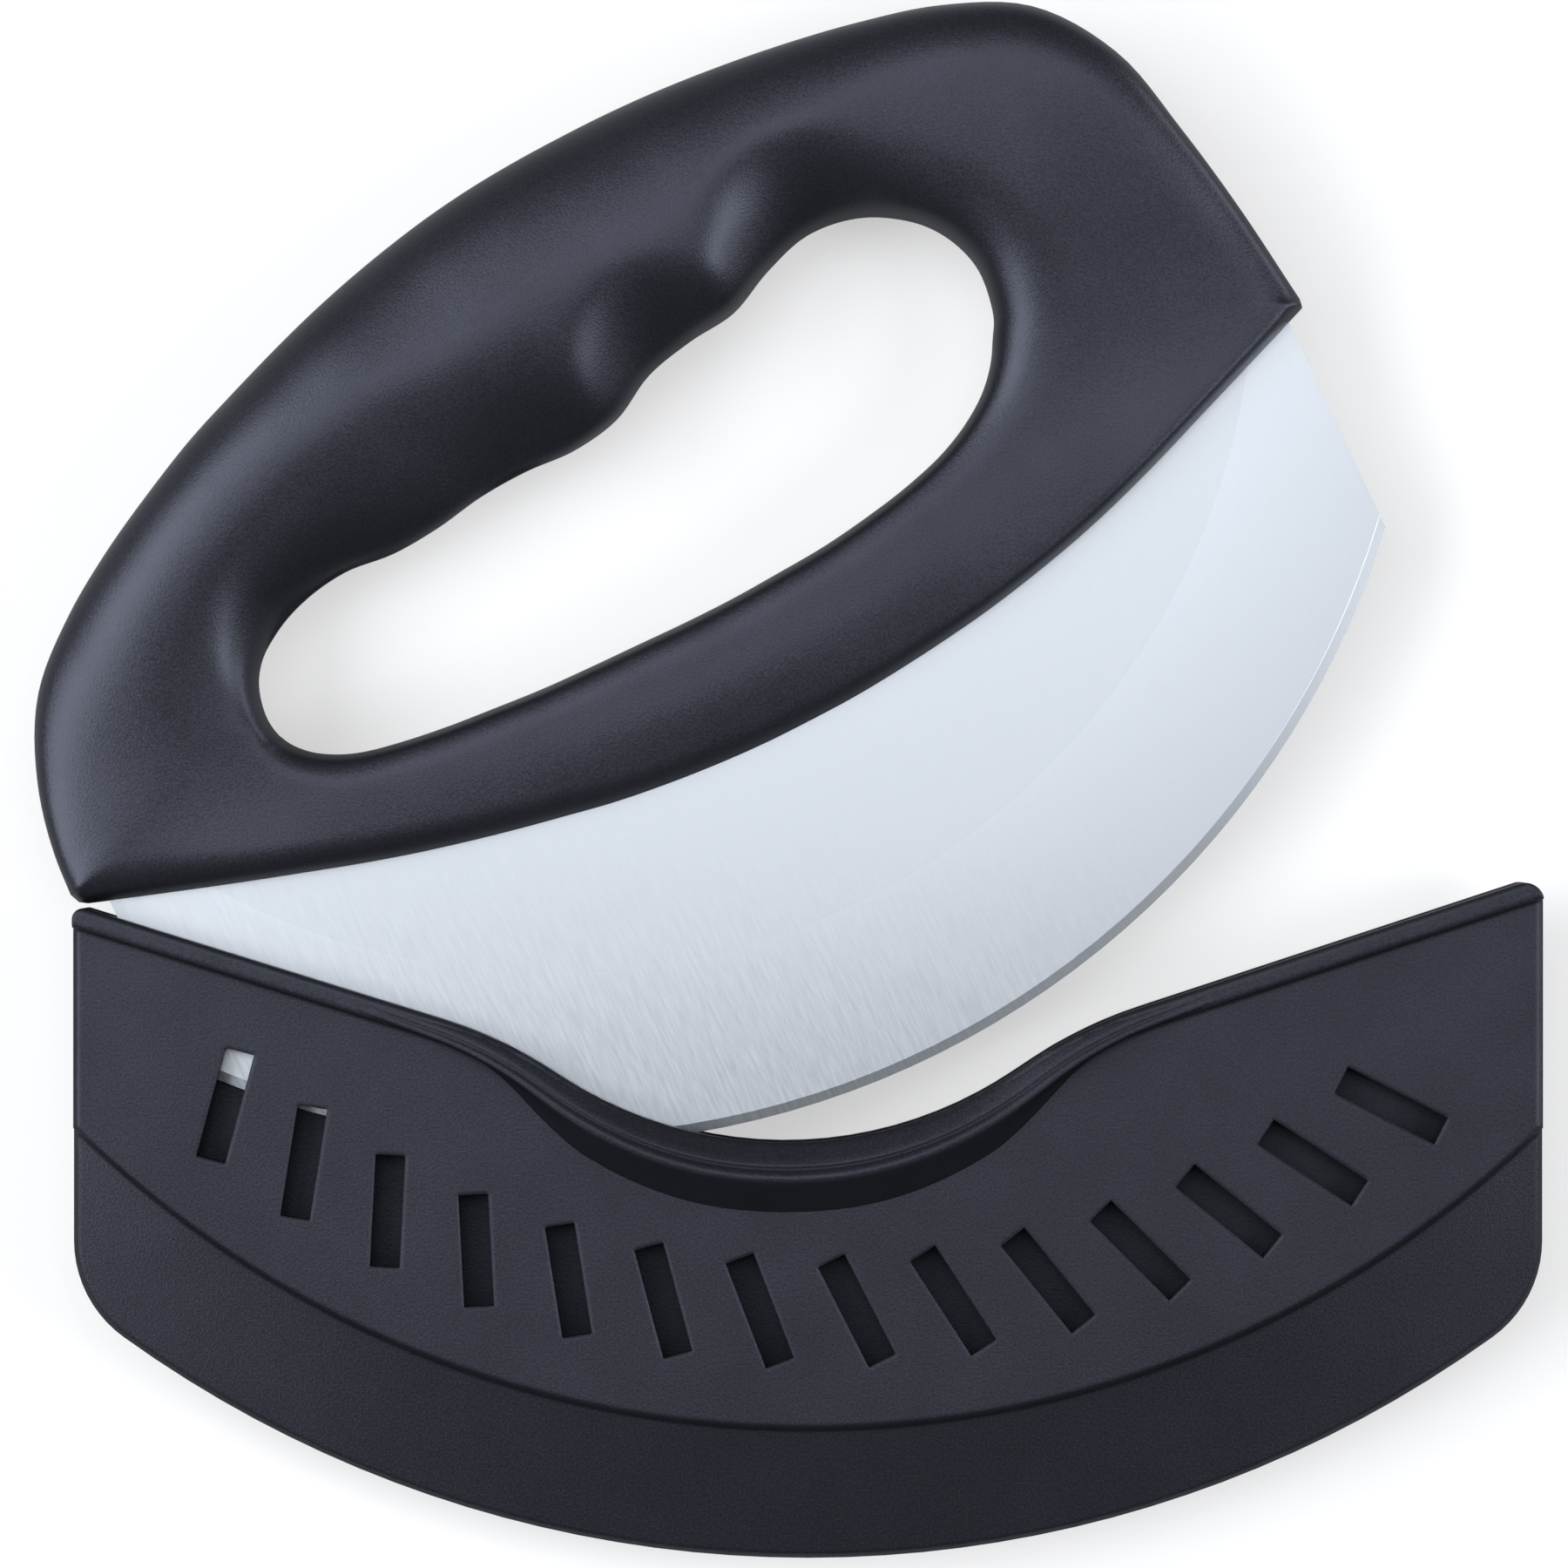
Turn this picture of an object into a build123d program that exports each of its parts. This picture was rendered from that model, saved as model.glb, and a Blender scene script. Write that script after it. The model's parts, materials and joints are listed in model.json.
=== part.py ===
from build123d import *
import math
import os

# Rocking pizza knife: a curved steel blade moulded into a loop handle, and the sheath it rocks into.
# Millimetres and degrees. Knife and sheath are drawn as they sit when the sheath is closed, upright,
# with the handle's lower left corner at the origin, and are then turned to the photographed pose.

# Handle, seen from the front
handle_length = 183.3
handle_rise = 65.8
handle_right_corner_rise = 2.6
keel_left_angle = 17.2
keel_right_angle = 21.8
keel_radius = 179.0
handle_left_corner_radius = 1.8
handle_right_corner_radius = 1.0
corner_bite = 0.03

# Handle, through its thickness
grip_thickness = 24.0
plate_thickness = 12.6
swell_height = 36.0
keel_bevel = 2.0

# Blade
blade_thickness = 1.5
blade_left_inset = 4.4
blade_right_inset = 2.6
blade_edge_radius = 117.5
blade_edge_depth = 67.4
blade_edge_offset = 1.3
grind_width = 23.0
grind_edge_thickness = 0.8
bevel_width = 1.3
edge_land = 0.12

# Tang, moulded into the handle
tang_end_height = 9.0
tang_middle_depth = 9.5
tang_corner_radius = 3.0
tang_hole_diameter = 4.5
tang_hole_count = 5
tang_hole_end_margin = 22.0

# Sheath, seen from the front
pocket_left_clearance = 1.6
pocket_right_clearance = 14.6
pocket_edge_clearance = 2.1
pocket_side_wall = 2.2
pocket_floor_wall = 1.5
pocket_corner_radius = 3.0
sheath_arc_flattening = 20.9
sheath_band_width = 17.2
sheath_lower_corner_radius = 16.0
sheath_left_corner_radius = 1.5
sheath_right_corner_radius = 2.6
closing_gap = 0.3
mouth_dip_offset = 4.65
mouth_dip_left_width = 38.5
mouth_dip_right_width = 39.9
mouth_dip_drop = 24.8
mouth_right_drop = 3.9
mouth_right_flattening = 3.6

# Sheath, through its thickness
blade_side_clearance = 0.3
sheath_wall = 2.0
sheath_step = 1.0
sheath_edge_bevel = 0.7
step_bevel = 0.7
bead_width = 3.0
bead_height = 1.1
bead_round = 0.8
flare_width = 10.0
flare_height = 2.2
flare_edge_height = 0.75
flare_ridge_width = 3.6
flare_drift = 19.0
flare_sink = 0.4
mouth_lead_in = 0.7

# Slots through each face of the sheath
slot_count = 14
slot_width = 4.0
slot_length = 15.0
slot_row_inset = 15.9
slot_row_angle = 78.0
slot_slant = 24.0

# Photographed pose: the knife swung out of the sheath about the corner where the two meet
open_angle = 25.2

cut_overrun = 5.0

# Grip from the left side over the crown to the right side. Each row is a place on the crown, as
# shares of handle_length and handle_rise, and the place on the lower edge that its section runs
# down to, as a share of handle_length.
crown_shares = (
    (0.0045, 0.165, 0.000),
    (0.0245, 0.353, 0.035),
    (0.0693, 0.503, 0.085),
    (0.1970, 0.725, 0.200),
    (0.3884, 0.930, 0.380),
    (0.5960, 1.000, 0.570),
    (0.7714, 0.959, 0.750),
    (0.8674, 0.895, 0.865),
    (0.9313, 0.775, 0.950),
    (0.9629, 0.588, 1.000),
)
# Finger hole, clockwise from its left end, with four finger hollows along its top. Each row is a
# place as shares of handle_length and handle_rise, and how far the hole has widened where it
# meets the handle's face, as a share of the half thickness there.
finger_hole_shares = (
    (0.1855, 0.187, 0.42),
    (0.1985, 0.282, 0.44),
    (0.2290, 0.343, 0.48),
    (0.2800, 0.376, 0.54),
    (0.3345, 0.371, 0.56),
    (0.4065, 0.405, 0.60),
    (0.4800, 0.409, 0.56),
    (0.5185, 0.447, 0.56),
    (0.5675, 0.502, 0.58),
    (0.6140, 0.515, 0.54),
    (0.6520, 0.565, 0.52),
    (0.7010, 0.600, 0.54),
    (0.7650, 0.534, 0.48),
    (0.7945, 0.356, 0.44),
    (0.7715, 0.196, 0.40),
    (0.7075, 0.080, 0.36),
    (0.6110, 0.013, 0.34),
    (0.4800, -0.008, 0.32),
    (0.3490, -0.003, 0.34),
    (0.2590, 0.023, 0.36),
    (0.2085, 0.085, 0.40),
)
# Heights at which the finger hole's outline is drawn, as shares of grip_thickness
hole_level_shares = (-0.66, -0.46, -0.25, 0.25, 0.46, 0.66)
# Rounds of the mouth's two shoulders and of the dip between them, as shares of its sloping sides
shoulder_round_share = 0.17
dip_round_share = 0.78
# Where a section of the handle goes over from its flat side to its crown, as a share of its height,
# and the number of narrow flats that draw the crown's curve
side_bend_share = 0.66
crown_flat_count = 12

# Places that follow from the sizes above
left_slope = math.tan(math.radians(keel_left_angle))
right_slope = math.tan(math.radians(keel_right_angle))
left_corner = Vector(0, 0)
right_corner = Vector(handle_length, handle_right_corner_rise)
keel_apex_x = (right_slope * handle_length - handle_right_corner_rise) / (left_slope + right_slope)
keel_apex = Vector(keel_apex_x, -left_slope * keel_apex_x)
crown_start = Vector(handle_length * crown_shares[0][0], handle_rise * crown_shares[0][1])
crown_end = Vector(handle_length * crown_shares[-1][0], handle_rise * crown_shares[-1][1])

blade_left = blade_left_inset
blade_right = handle_length - blade_right_inset
blade_middle = (blade_left + blade_right) / 2
edge_centre = Vector(blade_middle + blade_edge_offset, blade_edge_radius - blade_edge_depth)

pocket_left = blade_left - pocket_left_clearance
pocket_right = blade_right + pocket_right_clearance
pocket_half = blade_thickness / 2 + blade_side_clearance
pocket_floor_radius = blade_edge_radius + sheath_arc_flattening
pocket_floor_depth = blade_edge_depth + pocket_edge_clearance
sheath_left = pocket_left - pocket_side_wall
sheath_right = pocket_right + pocket_side_wall
sheath_middle = (sheath_left + sheath_right) / 2
arc_centre = Vector(sheath_middle, pocket_floor_radius - pocket_floor_depth)
step_radius = pocket_floor_radius + pocket_floor_wall
sheath_bottom_radius = step_radius + sheath_band_width
field_half = pocket_half + sheath_wall
band_half = field_half - sheath_step
bead_half = field_half + bead_height
flare_half = field_half + flare_height


def rounded_corner(before, corner, after, radius):
    """Centre of the arc of this radius that touches both sides of a corner."""
    first = (before - corner).normalized()
    second = (after - corner).normalized()
    half_angle = math.radians(first.get_angle(second) / 2)
    return corner + (first + second).normalized() * (radius / math.sin(half_angle))


def corner_trim(before, corner, after, radius):
    """Sliver to cut away so that a sharp corner becomes an arc of this radius, which bites into both sides."""
    centre = rounded_corner(before, corner, after, radius)
    centre += (corner - centre).normalized() * corner_bite
    ends = [corner + (end - corner).normalized() * (centre - corner).length for end in (before, after)]
    outside = corner + (corner - centre).normalized() * radius
    wedge = make_face(Polyline(centre, ends[0], outside, ends[1], close=True))
    return extrude(wedge - Pos(centre) * Circle(radius), amount=grip_thickness, both=True)


pivot = rounded_corner(crown_start, left_corner, keel_apex, handle_left_corner_radius)


def keel_height(x):
    """Height of the handle's lower edge: two straight ends joined by one long arc."""
    reach = keel_radius * math.tan(math.radians((keel_left_angle + keel_right_angle) / 2))
    arc_start = keel_apex.X - reach * math.cos(math.radians(keel_left_angle))
    arc_end = keel_apex.X + reach * math.cos(math.radians(keel_right_angle))
    if x < arc_start:
        return -left_slope * x
    if x > arc_end:
        return handle_right_corner_rise - right_slope * (handle_length - x)
    centre_x = arc_start + keel_radius * math.sin(math.radians(keel_left_angle))
    centre_y = keel_radius * math.cos(math.radians(keel_left_angle)) - left_slope * arc_start
    return centre_y - math.sqrt(keel_radius**2 - (x - centre_x) ** 2)


def half_thickness(place):
    """Half of the handle's thickness: thin along the blade, swelling smoothly to the full grip."""
    share = min(max(place.Y / swell_height, 0), 1)
    swell = share * share * (3 - 2 * share)
    return (plate_thickness + (grip_thickness - plate_thickness) * swell) / 2


def handle_section(crown_x_share, crown_y_share, keel_x_share):
    """Section of the handle: bevelled along its lower edge, and curved over its crown in narrow flats."""
    foot = Vector(handle_length * keel_x_share, keel_height(handle_length * keel_x_share))
    crown = Vector(handle_length * crown_x_share, handle_rise * crown_y_share)
    bend = foot + (crown - foot) * side_bend_share
    across = Vector(0, 0, 1)
    low_half = half_thickness(foot)
    high_half = half_thickness(bend)
    side_start = foot + (crown - foot).normalized() * keel_bevel
    points = [foot + across * (low_half - keel_bevel), side_start + across * low_half]
    for i in range(crown_flat_count + 1):
        turn = math.pi * i / crown_flat_count
        points.append(bend + (crown - bend) * math.sin(turn) + across * high_half * math.cos(turn))
    points += [side_start - across * low_half, foot - across * (low_half - keel_bevel)]
    return make_face(Polyline(*points, close=True))


def finger_hole_level(height):
    """Outline of the finger hole at one height: narrowest in the middle plane, wider at both faces."""
    middle = [Vector(handle_length * x, handle_rise * y) for x, y, _ in finger_hole_shares]
    points = []
    for i, (x, y, flare_share) in enumerate(finger_hole_shares):
        along = middle[(i + 1) % len(middle)] - middle[i - 1]
        outward = Vector(-along.Y, along.X).normalized()
        half = half_thickness(middle[i])
        widening = half * flare_share * (height / half) ** 2
        points.append(middle[i] + outward * widening + Vector(0, 0, height))
    return Face(Wire([Spline(*points, periodic=True)]))


def blade_face(offset):
    """Face of the blade and its tang in the middle plane. The cutting edge is left to the grinding disc."""
    low = -blade_edge_depth - offset
    tang_left = Vector(blade_left, tang_end_height)
    tang_right = Vector(blade_right, tang_end_height)
    tang = ThreePointArc(tang_left, (blade_middle, -tang_middle_depth), tang_right)
    sides = Polyline(tang_right, (blade_right, low), (blade_left, low), tang_left)
    face = make_face(Wire([tang, *sides.edges()]))
    corners = face.vertices().group_by(Axis.Y)[-1]
    return fillet(corners, tang_corner_radius)


def tang_holes():
    """Row of holes along the tang that the handle's plastic flows through."""
    first = blade_left + tang_hole_end_margin
    last = blade_right - tang_hole_end_margin
    rise = tang_end_height + tang_middle_depth
    arc_radius = (((blade_right - blade_left) / 2) ** 2 + rise**2) / (2 * rise)
    holes = []
    for i in range(tang_hole_count):
        x = first + (last - first) * i / (tang_hole_count - 1)
        tang_top = arc_radius - tang_middle_depth - math.sqrt(arc_radius**2 - (x - blade_middle) ** 2)
        place = Pos(x, (tang_top + keel_height(x)) / 2)
        holes.append(place * Circle(tang_hole_diameter / 2))
    return Sketch() + holes


def blade():
    """Stamped blade with holes along its tang, a wide grind on both sides and a fine cutting bevel."""
    flat_radius = blade_edge_radius - grind_width
    bevel_radius = blade_edge_radius - bevel_width
    profile = Polyline(
        (0, -blade_thickness / 2),
        (flat_radius, -blade_thickness / 2),
        (bevel_radius, -grind_edge_thickness / 2),
        (blade_edge_radius, -edge_land / 2),
        (blade_edge_radius, edge_land / 2),
        (bevel_radius, grind_edge_thickness / 2),
        (flat_radius, blade_thickness / 2),
        (0, blade_thickness / 2),
        close=True,
    )
    ground_disc = Pos(edge_centre) * revolve(Plane.XZ * make_face(profile), Axis.Z)
    plate = extrude(blade_face(cut_overrun) - tang_holes(), amount=blade_thickness, both=True)
    return plate & ground_disc


def handle(tang):
    """Loop handle, moulded over the tang: lofted from end to end, then opened for the fingers."""
    body = loft([handle_section(*row) for row in crown_shares])
    levels = [finger_hole_level(grip_thickness * share) for share in hole_level_shares]
    hole = loft(levels, ruled=True)
    left_trim = corner_trim(crown_start, left_corner, keel_apex, handle_left_corner_radius)
    right_trim = corner_trim(crown_end, right_corner, keel_apex, handle_right_corner_radius)
    return body - hole - left_trim - right_trim - tang


def mouth_points():
    """Corners of the sheath's mouth before they are rounded, from left to right."""
    gap = closing_gap / math.cos(math.radians(keel_left_angle))
    mouth_slope = math.tan(math.radians(keel_right_angle - mouth_right_flattening))
    dip_x = handle_length / 2 + mouth_dip_offset
    right_y = handle_right_corner_rise - mouth_right_drop

    def left_line(x):
        return Vector(x, -left_slope * x - gap)

    def right_line(x):
        return Vector(x, right_y - mouth_slope * (handle_length - x))

    left_shoulder = left_line(dip_x - mouth_dip_left_width)
    return [
        left_line(sheath_left - cut_overrun),
        left_shoulder,
        Vector(dip_x, left_shoulder.Y - mouth_dip_drop),
        right_line(dip_x + mouth_dip_right_width),
        right_line(sheath_right + cut_overrun),
    ]


def mouth_radii():
    """Rounds at the left shoulder, the dip and the right shoulder."""
    points = mouth_points()
    side = min((points[1] - points[2]).length, (points[3] - points[2]).length)
    radii = []
    for i, share in enumerate((shoulder_round_share, dip_round_share, shoulder_round_share), 1):
        turn = (points[i] - points[i - 1]).get_angle(points[i + 1] - points[i])
        radii.append(side * share / math.tan(math.radians(turn / 2)))
    return radii


def mouth_line():
    """The sheath's mouth, from beyond its left side to beyond its right side."""
    return FilletPolyline(*mouth_points(), radius=mouth_radii())


def sheath_face():
    """Face inside the sheath's outline."""
    left, right = sheath_left - cut_overrun, sheath_right + cut_overrun
    low = arc_centre.Y - sheath_bottom_radius - cut_overrun
    mouth = mouth_line()
    around = Polyline(mouth @ 1, (right, low), (left, low), mouth @ 0)
    below_mouth = make_face(Wire([*mouth.edges(), *around.edges()]))
    height = 2 * sheath_bottom_radius
    strip = Pos(sheath_middle, arc_centre.Y) * Rectangle(sheath_right - sheath_left, height)
    face = below_mouth & (strip & Pos(arc_centre) * Circle(sheath_bottom_radius))
    for side, top_radius in ((0, sheath_left_corner_radius), (-1, sheath_right_corner_radius)):
        corners = face.vertices().group_by(Axis.X)[side].sort_by(Axis.Y)
        face = fillet(corners[-1], top_radius)
        corners = face.vertices().group_by(Axis.X)[side].sort_by(Axis.Y)
        face = fillet(corners[0], sheath_lower_corner_radius)
    return face


def along_mouth(corners, radii):
    """Bar swept along the mouth. Its corners are given as height and distance below the mouth."""
    mouth = mouth_line()
    start = Plane(mouth @ 0, x_dir=(0, 0, 1), z_dir=mouth % 0)
    section = start * make_face(FilletPolyline(*corners, radius=radii, close=True))
    return sweep(section, path=Wire(mouth.edges()))


def mouth_bead():
    """Raised bead that stiffens the mouth."""
    corners = [(0, 0), (bead_half, 0), (bead_half, bead_width), (0, bead_width)]
    return along_mouth(corners, [0, bead_round, bead_round, 0])


def mouth_lead():
    """Slanted entry that guides the blade into the pocket."""
    wide = pocket_half + mouth_lead_in
    corners = [
        (-wide, -mouth_lead_in),
        (wide, -mouth_lead_in),
        (wide, 0),
        (pocket_half, mouth_lead_in),
        (-wide, mouth_lead_in),
    ]
    return along_mouth(corners, [0] * len(corners))


def dip_flare():
    """Thicker lip round the dip: a ridge with a slope to each side, which fades out up the dip's sides."""
    _, before, dip, after, _ = mouth_points()
    radius = mouth_radii()[1]
    centre = rounded_corner(before, dip, after, radius)

    # Slope down to the mouth, round the dip's own centre
    edge_half = field_half + flare_edge_height
    rise = (flare_half - edge_half) / flare_ridge_width
    near = radius - cut_overrun
    far = radius + flare_width
    low = edge_half - rise * cut_overrun
    high = edge_half + rise * flare_width
    inner = make_face(Polyline((near, 0), (far, 0), (far, high), (near, low), close=True))

    # Slope down to the field, round a centre lower down, so that it narrows up both sides
    sunk = field_half - flare_sink
    fall = (flare_half - sunk) / (flare_width - flare_ridge_width)
    foot = far - flare_drift
    outer = make_face(Polyline((0, 0), (foot, 0), (foot, sunk), (0, sunk + fall * foot), close=True))

    inner_cone = Pos(centre) * revolve(Plane.XZ * inner, Axis.Z)
    outer_cone = Pos(centre.X, centre.Y - flare_drift) * revolve(Plane.XZ * outer, Axis.Z)
    return inner_cone & outer_cone


def pocket():
    """Room for half of the blade's thickness, open at the mouth."""
    top = handle_rise
    low = arc_centre.Y - pocket_floor_radius - cut_overrun
    strip = Pos((pocket_left + pocket_right) / 2, (top + low) / 2) * Rectangle(
        pocket_right - pocket_left, top - low
    )
    face = strip & Pos(arc_centre) * Circle(pocket_floor_radius)
    for side in (0, -1):
        corners = face.vertices().group_by(Axis.X)[side].sort_by(Axis.Y)
        face = fillet(corners[0], pocket_corner_radius)
    return extrude(face, amount=pocket_half, both=True)


def slots(count):
    """Row of slanted slots along the sheath's arc."""
    row_radius = step_radius - slot_row_inset
    slot = Rectangle(slot_width, slot_length, rotation=slot_slant)
    pitch = slot_row_angle / (slot_count - 1)
    row = []
    for i in range(count):
        angle = pitch * (i - (count - 1) / 2)
        row.append(Pos(arc_centre) * Rot(0, 0, angle) * Pos(0, -row_radius) * slot)
    return extrude(Sketch() + row, amount=flare_half + cut_overrun)


def sheath_front_blank():
    """Front half of the sheath before its slots are cut."""
    face = sheath_face()
    plan = extrude(face, amount=flare_half)
    band = extrude(face, amount=band_half)
    band = chamfer(band.faces().sort_by(Axis.Z)[-1].edges(), sheath_edge_bevel)
    field = extrude(face & Pos(arc_centre) * Circle(step_radius), amount=field_half)
    field = chamfer(field.faces().sort_by(Axis.Z)[-1].edges(), step_bevel)
    lip = (mouth_bead() + dip_flare()) & plan
    return band + field + lip - pocket() - mouth_lead()


def sheath_halves():
    """The two halves, welded face to face along the band and the side walls."""
    front = sheath_front_blank()
    back = mirror(front, about=Plane.XY)
    # The slots at the back lie between those at the front
    back_slots = mirror(slots(slot_count - 1), about=Plane.XY)
    return front - slots(slot_count), back - back_slots


blade_part = blade()
handle_part = handle(blade_part)
sheath_front, sheath_back = sheath_halves()

# Turn the knife to its photographed pose, and set the whole on its lowest point, over the middle
turned = Pos(pivot) * Rot(0, 0, open_angle) * Pos(-pivot)
nodes = {
    "blade": turned * blade_part,
    "handle": turned * handle_part,
    "sheath_front": sheath_front,
    "sheath_back": sheath_back,
}
box = Compound(children=[solid for part in nodes.values() for solid in part.solids()]).bounding_box()
origin = Vector(box.center().X, box.center().Y, box.min.Z)

os.makedirs("parts", exist_ok=True)
for name, part in nodes.items():
    export_step(Pos(-origin) * part, f"parts/{name}.step")

place = pivot - origin
print("size", box.size)
print("hinge at", place)
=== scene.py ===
import json
import math

import bmesh
import bpy
import numpy as np
from bpy.props import FloatProperty, FloatVectorProperty, IntProperty, PointerProperty
from mathutils import Matrix, Vector


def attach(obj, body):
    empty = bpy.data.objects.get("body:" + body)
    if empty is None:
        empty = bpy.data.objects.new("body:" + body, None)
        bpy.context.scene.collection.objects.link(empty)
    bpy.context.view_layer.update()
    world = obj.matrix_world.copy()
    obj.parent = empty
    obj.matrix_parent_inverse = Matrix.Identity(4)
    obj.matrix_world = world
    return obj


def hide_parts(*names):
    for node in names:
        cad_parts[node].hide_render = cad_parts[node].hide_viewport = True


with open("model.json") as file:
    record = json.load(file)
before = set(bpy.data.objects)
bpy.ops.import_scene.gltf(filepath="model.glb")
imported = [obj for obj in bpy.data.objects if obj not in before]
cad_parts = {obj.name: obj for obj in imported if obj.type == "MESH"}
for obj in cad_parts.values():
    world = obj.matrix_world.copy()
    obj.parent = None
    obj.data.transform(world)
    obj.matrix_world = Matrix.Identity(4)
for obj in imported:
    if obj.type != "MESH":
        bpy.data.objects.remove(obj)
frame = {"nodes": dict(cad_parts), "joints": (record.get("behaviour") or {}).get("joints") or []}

bl_info = {
    "name": "Rocking Pizza Knife",
    "version": (1, 0, 0),
    "blender": (4, 5, 0),
    "location": "3D View > Sidebar > Pizza Knife",
    "description": "Dresses the packed knife and its sheath, and sets them on a pale studio floor",
    "category": "Object",
}

MM = 0.001

# The knife is drawn upright, with its lower left corner at the origin, and is turned about the
# corner where it meets the sheath. The sheath is drawn in the same axes and isn't turned.
HINGE = Vector(frame["joints"][0]["pos_m"])
HINGE_AS_DRAWN = Vector((1.90358, 1.29501, 0))
# Centre of the cutting edge's arc, as drawn
EDGE_CENTRE_AS_DRAWN = Vector((93.95, 50.1, 0))
KNIFE_TURN = math.radians(25.2)
KNIFE_PLACE = (
    Matrix.Translation(HINGE)
    @ Matrix.Rotation(KNIFE_TURN, 4, "Z")
    @ Matrix.Scale(MM, 4)
    @ Matrix.Translation(-HINGE_AS_DRAWN)
)

# The sheath's step and lower edge are arcs about this place. The band between them leans outward.
SHEATH_CENTRE = (0.00289, 0.05281, 0)
BAND_RADIUS = 139.9 * MM
BAND_SLOPE = 0.2

# Corners of the sheath's mouth in millimetres, from left to right, and the radii of the rounds at
# the inner three
MOUTH_CORNERS = (
    (-100.561, -15.04),
    (-38.361, -34.295),
    (0.139, -59.095),
    (40.039, -32.874),
    (106.339, -11.076),
)
MOUTH_ROUNDS = (56.879, 54.902, 58.696)
# Points on each round, and the step of the finished line in millimetres
ROUND_POINTS = 25
MOUTH_STEP = 0.8
# Section of the lip in millimetres, as distance from the mouth and height above the sheath's
# field: first on the straight sides, where it is one bead, then in the dip, where it is two
LIP_SECTION = (
    (0.08, -0.4, 0.08, -0.4),
    (0.12, 0.4, 0.12, 0.8),
    (0.3, 0.75, 0.45, 1.05),
    (0.55, 0.95, 1.1, 1.42),
    (0.9, 1.03, 2.0, 1.93),
    (1.2, 1.05, 2.9, 2.42),
    (1.35, 1.0, 3.25, 2.5),
    (1.5, 0.98, 3.5, 2.2),
    (1.7, 1.05, 3.75, 2.65),
    (1.95, 1.06, 4.3, 3.0),
    (2.2, 1.05, 4.9, 3.1),
    (2.45, 0.9, 5.5, 2.8),
    (2.7, 0.65, 6.2, 2.2),
    (2.85, 0.3, 8.4, 0.6),
    (2.88, 0.0, 9.5, -0.1),
    (2.9, -0.4, 9.9, -0.5),
)
# Points of the section from here on belong to the slope below the beads
LIP_SLOPE_START = 12
# Distances from the middle of the dip, in millimetres. The beads are full up to the first, and
# thin out to the end of the lip. The slope is full up to the second, and has gone at the third.
BEADS_FULL = 6.0
SLOPE_FULL = 14.0
SLOPE_GONE = 46.0

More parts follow.
